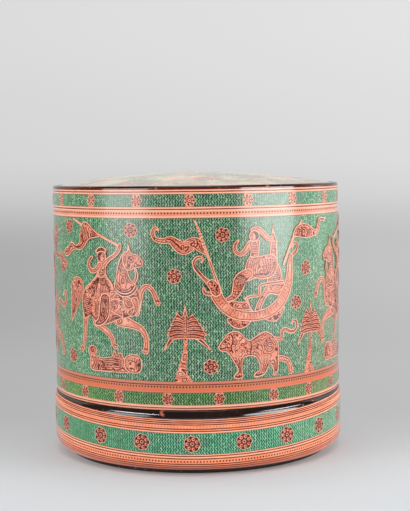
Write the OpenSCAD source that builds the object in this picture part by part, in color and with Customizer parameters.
// Round lacquered betel box: a deep domed cover that slides down over a tall neck and rests on a
// banded plinth, with two shallow trays hung and stacked inside the neck. Walls are wound bamboo,
// and every edge and seat is a bamboo hoop, all under polished lacquer.
// Millimetres, +Z up, origin at the centre of the foot on the table.

/* [Cover] */
// Outer diameter of the cover
cover_od = 212; // [160:1:260]
// Thickness of the cover's wound wall
cover_wall_t = 3.2; // [2.4:0.1:5]
// Height of the cover's wall between its mouth hoop and its shoulder hoop
cover_wall_h = 144.4; // [125:0.2:200]
// Height of the hoop at the cover's mouth
mouth_hoop_h = 3.5; // [2:0.1:8]
// Height of the black hoop round the cover's shoulder
shoulder_hoop_h = 2.6; // [1.6:0.1:6]
// Radial width of the black hoop round the cover's shoulder
shoulder_hoop_w = 3.6; // [2.5:0.1:8]
// Rise of the domed crown above its own rim
crown_rise = 9; // [4:0.5:18]
// Thickness of the crown
crown_t = 3; // [2:0.1:5]
// Radial width of the hoop that carries the crown inside the wall
crown_seat_w = 5; // [4:0.1:8]
// Height of the hoop that carries the crown inside the wall
crown_seat_h = 6; // [3:0.5:12]

/* [Plinth] */
// How far the plinth stands out past the cover all round
plinth_overhang = 1.4; // [0.4:0.1:4]
// Height of the plinth's wall above the foot
plinth_h = 36; // [24:0.5:60]
// Radius of the plinth's rounded lower edge
plinth_edge_r = 9; // [2:0.5:9]
// Height of the black bead on top of the plinth
bead_h = 6; // [3:0.5:9]
// Height of the foot hoop
foot_h = 3; // [1.5:0.5:8]
// Radial width of the foot hoop
foot_w = 7.5; // [4:0.5:9]
// Height of the hoop that carries the floor
floor_hoop_h = 9; // [5:0.5:14]
// Radial width of the hoop that carries the floor
floor_hoop_w = 9; // [8:0.5:14]
// Thickness of the floor
floor_t = 3; // [2:0.5:6]

/* [Neck] */
// Thickness of the neck's wound wall
neck_wall_t = 3.2; // [2.4:0.1:5]
// Height of the hoop at the neck's rim
neck_rim_h = 4; // [2:0.5:8]
// Free height left between the upper tray's rim and the hoop that carries the crown
headroom = 3.9; // [2:0.1:8]
// Radial width of the hoop that the lower tray stands on
ledge_w = 4.5; // [4:0.1:7]
// Height of the hoop that the lower tray stands on
ledge_h = 6; // [3:0.5:10]

/* [Trays] */
// Height of each tray's wound wall
tray_wall_h = 27; // [18:0.5:30]
// Thickness of each tray's wall
tray_wall_t = 2.6; // [2:0.1:4]
// Height of each tray's rim hoop
tray_rim_h = 3; // [2:0.5:5]
// How far each tray's rim hoop stands in past its wall as a finger lip
tray_lip_w = 3.2; // [1.5:0.1:5]
// Height of the hoop under each tray's floor
tray_foot_h = 2.5; // [1.5:0.5:5]
// Radial width of the hoop under each tray's floor
tray_foot_w = 4; // [2.5:0.5:7]
// Thickness of each tray's floor
tray_floor_t = 2.4; // [1.6:0.1:4]
// Free height between the two trays
tray_spacing = 4; // [1:0.5:10]

/* [Fits] */
// Radial clearance between the cover and the neck
cover_gap = 0.5; // [0.3:0.1:1.2]
// Radial clearance between a tray and the neck
tray_gap = 0.7; // [0.4:0.1:1.5]
// Radial lacquer line between pieces that are bonded together
glue_line = 0.1; // [0.05:0.05:0.3]
// Rounding of the hoops' exposed edges
edge_r = 0.8; // [0.3:0.1:1]

/* [Hidden] */
$fn = 180;
dome_fn = 1440;
arc_steps = 8;

// Radii, from the outside in
cover_r = cover_od / 2;
cover_ri = cover_r - cover_wall_t;
plinth_r = cover_r + plinth_overhang;
neck_r = cover_ri - cover_gap;
neck_ri = neck_r - neck_wall_t;
crown_r = cover_r - shoulder_hoop_w - glue_line;
crown_seat_r = cover_ri - glue_line;
sleeve_ri = neck_r + glue_line;
plinth_ri = neck_ri - edge_r;
plinth_edge = min(plinth_edge_r, plinth_r - plinth_ri - glue_line);
floor_hoop_r = plinth_ri - glue_line;
floor_hoop_ri = floor_hoop_r - floor_hoop_w;
floor_r = neck_ri - glue_line;
foot_r = min(floor_hoop_r, plinth_r - plinth_edge) - edge_r;
bead_top_r = cover_r - cover_wall_t / 2;
ledge_r = neck_ri - glue_line;
tray_r = neck_ri - tray_gap;
tray_ri = tray_r - tray_wall_t;
tray_floor_r = tray_ri - glue_line;
flange_r = neck_r - edge_r;

// Heights, from the table up
plinth_z = foot_h;
floor_z = plinth_z + floor_hoop_h;
bead_z = plinth_z + plinth_h;
mouth_z = bead_z + bead_h;
cover_wall_z = mouth_z + mouth_hoop_h;
shoulder_z = cover_wall_z + cover_wall_h;
crown_rim_z = shoulder_z + shoulder_hoop_h - edge_r / 2;
flange_z = shoulder_z - crown_seat_h - headroom - tray_rim_h;
neck_rim_z = flange_z - neck_rim_h;
upper_tray_z = flange_z - tray_wall_h;
lower_tray_z = upper_tray_z - tray_spacing - tray_rim_h - tray_wall_h;
ledge_z = lower_tray_z - ledge_h;

// Spheres of the crown's top and underside
dome_r = (crown_r * crown_r + crown_rise * crown_rise) / (2 * crown_rise);
dome_z = crown_rim_z + crown_rise - dome_r;

lacquer_green = [0.33, 0.50, 0.39];
lacquer_orange = [0.82, 0.46, 0.33];
lacquer_black = [0.06, 0.05, 0.05];
lacquer_red = [0.50, 0.10, 0.06];

// Points of an arc that rounds corner b, between neighbours a and c, to radius r
function unit(v) = v / norm(v);
function rounded_corner(a, b, c, r) =
  r <= 0 ? [b] :
  let (
    u = unit(a - b), v = unit(c - b),
    half = acos(u * v) / 2,
    centre = b + unit(u + v) * r / sin(half),
    from = b + u * r / tan(half) - centre,
    to = b + v * r / tan(half) - centre,
    start = atan2(from.y, from.x),
    sweep = (atan2(to.y, to.x) - start + 540) % 360 - 180
  )
  [for (i = [0 : arc_steps])
    let (a = start + sweep * i / arc_steps)
    centre + r * [cos(a), sin(a)]];

// Outline from corners given as [radius, height, rounding]
function flat(p) = [p.x, p.y];
function outline(corners) =
  let (n = len(corners))
  [for (i = [0 : n - 1])
    let (before = corners[(i + n - 1) % n], here = corners[i], after = corners[(i + 1) % n])
    each rounded_corner(flat(before), flat(here), flat(after), here.z)];

// Solid of revolution about +Z
module turned(corners) {
  rotate_extrude() polygon(outline(corners));
}

// Wound wall or hoop of rectangular section, with a rounding for each corner
module hoop(ri, ro, z, h, low_in = 0, low_out = 0, top_out = 0, top_in = 0) {
  turned([[ri, z, low_in], [ro, z, low_out], [ro, z + h, top_out], [ri, z + h, top_in]]);
}

// Flat round board
module board(r, z, t) {
  translate([0, 0, z]) cylinder(r = r, h = t);
}

// Cover

module cover_wall() {
  color(lacquer_green) hoop(cover_ri, cover_r, cover_wall_z, cover_wall_h);
}

module cover_mouth_hoop() {
  color(lacquer_orange) hoop(cover_ri, cover_r, mouth_z, mouth_hoop_h, low_in = edge_r, low_out = edge_r);
}

module cover_shoulder_hoop() {
  color(lacquer_black)
    hoop(cover_r - shoulder_hoop_w, cover_r, shoulder_z, shoulder_hoop_h,
      top_out = 2 * edge_r, top_in = edge_r / 2);
}

// Shallow dome whose flat rim rests on the seat hoop
module cover_crown() {
  rim_w = crown_seat_w;
  deep = shoulder_hoop_h + crown_rise;
  color(lacquer_orange)
    rotate_extrude()
      difference() {
        intersection() {
          translate([0, dome_z]) circle(r = dome_r, $fn = dome_fn);
          translate([0, shoulder_z]) square([crown_r, deep]);
        }
        intersection() {
          translate([0, dome_z]) circle(r = dome_r - crown_t, $fn = dome_fn);
          translate([0, shoulder_z - deep]) square([crown_r - rim_w, 2 * deep]);
        }
      }
}

module crown_seat_hoop() {
  color(lacquer_red)
    hoop(crown_seat_r - crown_seat_w, crown_seat_r, shoulder_z - crown_seat_h, crown_seat_h,
      low_in = edge_r);
}

// Base

// Band with a rounded lower edge and an inner ledge on which the neck stands
module plinth_wall() {
  color(lacquer_orange)
    turned([
      [plinth_ri, plinth_z, 0],
      [plinth_r, plinth_z, plinth_edge],
      [plinth_r, bead_z, 0],
      [sleeve_ri, bead_z, 0],
      [sleeve_ri, floor_z, 0],
      [plinth_ri, floor_z, 0]
    ]);
}

// Quarter-round bead: the cover's mouth rests on its flat top
module plinth_bead() {
  bead_w = plinth_r - bead_top_r;
  color(lacquer_black)
    rotate_extrude()
      polygon(concat(
        [[sleeve_ri, mouth_z], [sleeve_ri, bead_z]],
        [for (i = [0 : arc_steps])
          let (a = 90 * i / arc_steps)
          [bead_top_r + bead_w * cos(a), bead_z + bead_h * sin(a)]]
      ));
}

module foot_hoop() {
  color(lacquer_black) hoop(foot_r - foot_w, foot_r, 0, foot_h, low_in = edge_r, low_out = edge_r);
}

module floor_hoop() {
  color(lacquer_black) hoop(floor_hoop_ri, floor_hoop_r, plinth_z, floor_hoop_h);
}

module base_floor() {
  color(lacquer_red) board(floor_r, floor_z, floor_t);
}

module neck_wall() {
  color(lacquer_red) hoop(neck_ri, neck_r, floor_z, neck_rim_z - floor_z);
}

module neck_rim_hoop() {
  color(lacquer_black) hoop(neck_ri, neck_r, neck_rim_z, neck_rim_h, top_out = edge_r, top_in = edge_r);
}

module tray_ledge_hoop() {
  color(lacquer_red) hoop(ledge_r - ledge_w, ledge_r, ledge_z, ledge_h, low_in = edge_r, top_in = edge_r);
}

// Trays: a wall, a rim hoop on top of it, and a floor on a hoop inside its lower edge

module tray_wall(z) {
  color(lacquer_red) hoop(tray_ri, tray_r, z, tray_wall_h);
}

module tray_rim_hoop(z, rim_r) {
  color(lacquer_black)
    hoop(tray_ri - tray_lip_w, rim_r, z + tray_wall_h, tray_rim_h,
      low_in = edge_r, top_out = edge_r, top_in = edge_r);
}

module tray_foot_hoop(z) {
  color(lacquer_red) hoop(tray_floor_r - tray_foot_w, tray_floor_r, z, tray_foot_h);
}

module tray_floor(z) {
  color(lacquer_red) board(tray_floor_r, z + tray_foot_h, tray_floor_t);
}

cover_wall();
cover_mouth_hoop();
cover_shoulder_hoop();
cover_crown();
crown_seat_hoop();
plinth_wall();
plinth_bead();
foot_hoop();
floor_hoop();
base_floor();
neck_wall();
neck_rim_hoop();
tray_ledge_hoop();
tray_wall(upper_tray_z);  // upper_tray_wall
tray_rim_hoop(upper_tray_z, flange_r);  // upper_tray_rim_hoop
tray_foot_hoop(upper_tray_z);  // upper_tray_foot_hoop
tray_floor(upper_tray_z);  // upper_tray_floor
tray_wall(lower_tray_z);  // lower_tray_wall
tray_rim_hoop(lower_tray_z, tray_r);  // lower_tray_rim_hoop
tray_foot_hoop(lower_tray_z);  // lower_tray_foot_hoop
tray_floor(lower_tray_z);  // lower_tray_floor
